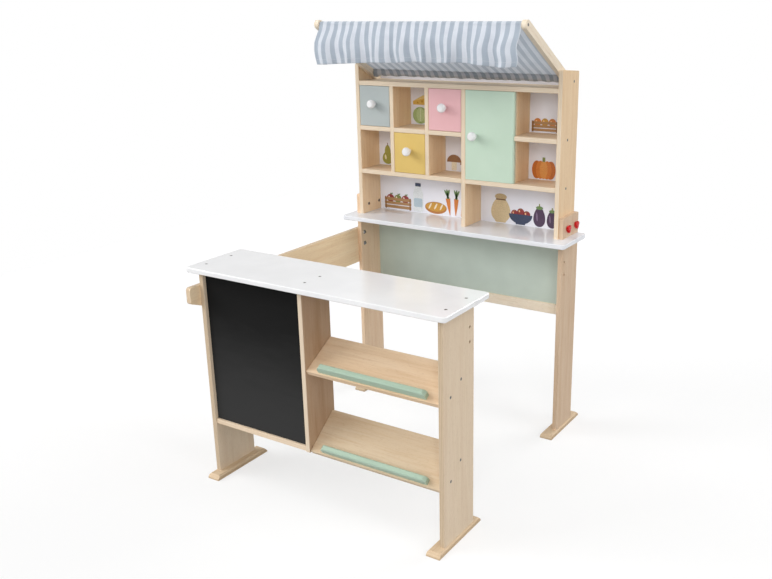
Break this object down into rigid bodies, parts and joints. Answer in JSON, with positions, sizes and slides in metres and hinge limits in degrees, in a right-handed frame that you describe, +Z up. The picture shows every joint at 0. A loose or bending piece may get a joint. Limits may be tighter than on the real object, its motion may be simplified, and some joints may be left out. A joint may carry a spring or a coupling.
{
  "type": "toy market stall",
  "caption": "Wooden play shop: counter with chalkboard and sloping display shelves, joined to a rear unit with cubbies, drawers, a cupboard and a striped awning.",
  "frame": {"origin": "on the floor, in the middle of the footprint's bounding box", "axes": "+X along the counter to the customer's right, +Y from the customer's side to the back, +Z up"},
  "size_m": [0.704, 0.803, 1.083],
  "materials": {
    "birch": "clear matt lacquer",
    "white_lacquer": "white lacquer",
    "mint_paint": "mint paint",
    "chalkboard_paint": "black chalkboard paint",
    "blue_paint": "blue-grey paint",
    "yellow_paint": "mustard paint",
    "pink_paint": "pink paint",
    "steel": "zinc plated",
    "red_plastic": "glossy",
    "striped_cloth": "woven cotton, blue-grey and white stripes"
  },
  "bodies": {
    "stall": {"counter_foot_left": "birch", "counter_foot_right": "birch", "counter_side_left": "birch", "counter_side_right": "birch", "counter_middle": "birch", "chalk_rail": "birch", "display_shelf_upper": "birch", "display_shelf_lower": "birch", "link_board": "birch", "rear_foot_left": "birch", "rear_foot_right": "birch", "rear_leg_left": "birch", "rear_leg_right": "birch", "lower_rail": "birch", "side_board_left": "birch", "side_board_right": "birch", "top_shelf": "birch", "row_shelf": "birch", "low_shelf_left": "birch", "low_shelf_right": "birch", "cubby_shelf": "birch", "drawer_divider_1": "birch", "drawer_divider_2": "birch", "main_divider": "birch", "cupboard_divider": "birch", "door_stop": "birch", "awning_arm_left": "birch", "awning_arm_right": "birch", "awning_front_rod": "birch", "awning_rear_rod": "birch", "counter_top": "white_lacquer", "worktop": "white_lacquer", "upper_back_panel": "white_lacquer", "stop_bar_upper": "mint_paint", "stop_bar_lower": "mint_paint", "lower_back_panel": "mint_paint", "chalkboard": "chalkboard_paint", "counter_screws": "steel", "unit_screws": "steel", "link_bolts": "steel", "door_pins": "steel", "clamp_inserts": "steel", "awning_cloth": "striped_cloth"},
    "drawer_blue": {"drawer_front_blue": "blue_paint", "drawer_box_blue": "birch", "drawer_knob_blue": "white_lacquer"},
    "drawer_yellow": {"drawer_front_yellow": "yellow_paint", "drawer_box_yellow": "birch", "drawer_knob_yellow": "white_lacquer"},
    "drawer_pink": {"drawer_front_pink": "pink_paint", "drawer_box_pink": "birch", "drawer_knob_pink": "white_lacquer"},
    "cupboard_door": {"door": "mint_paint", "door_knob": "white_lacquer"},
    "clamp_left_front": {"clamp_knob_left_front": "red_plastic"},
    "clamp_left_rear": {"clamp_knob_left_rear": "red_plastic"},
    "clamp_right_front": {"clamp_knob_right_front": "red_plastic"},
    "clamp_right_rear": {"clamp_knob_right_rear": "red_plastic"}
  },
  "joints": [
    {"name": "drawer_blue_slide", "type": "slide", "parent": "stall", "child": "drawer_blue", "axis": [0, -1, 0], "range_m": [0, 0.055]},
    {"name": "drawer_yellow_slide", "type": "slide", "parent": "stall", "child": "drawer_yellow", "axis": [0, -1, 0], "range_m": [0, 0.055]},
    {"name": "drawer_pink_slide", "type": "slide", "parent": "stall", "child": "drawer_pink", "axis": [0, -1, 0], "range_m": [0, 0.055]},
    {"name": "door_hinge", "type": "hinge", "parent": "stall", "child": "cupboard_door", "pos_m": [0.1623, 0.263, 0.791], "axis": [0, 0, 1], "range_deg": [0, 90]},
    {"name": "clamp_left_front_turn", "type": "hinge", "parent": "stall", "child": "clamp_left_front", "pos_m": [-0.333, 0.286, 0.569], "axis": [-1, 0, 0], "continuous": true},
    {"name": "clamp_left_rear_turn", "type": "hinge", "parent": "stall", "child": "clamp_left_rear", "pos_m": [-0.333, 0.337, 0.569], "axis": [-1, 0, 0], "continuous": true},
    {"name": "clamp_right_front_turn", "type": "hinge", "parent": "stall", "child": "clamp_right_front", "pos_m": [0.309, 0.286, 0.569], "axis": [1, 0, 0], "continuous": true},
    {"name": "clamp_right_rear_turn", "type": "hinge", "parent": "stall", "child": "clamp_right_rear", "pos_m": [0.309, 0.337, 0.569], "axis": [1, 0, 0], "continuous": true}
  ]
}
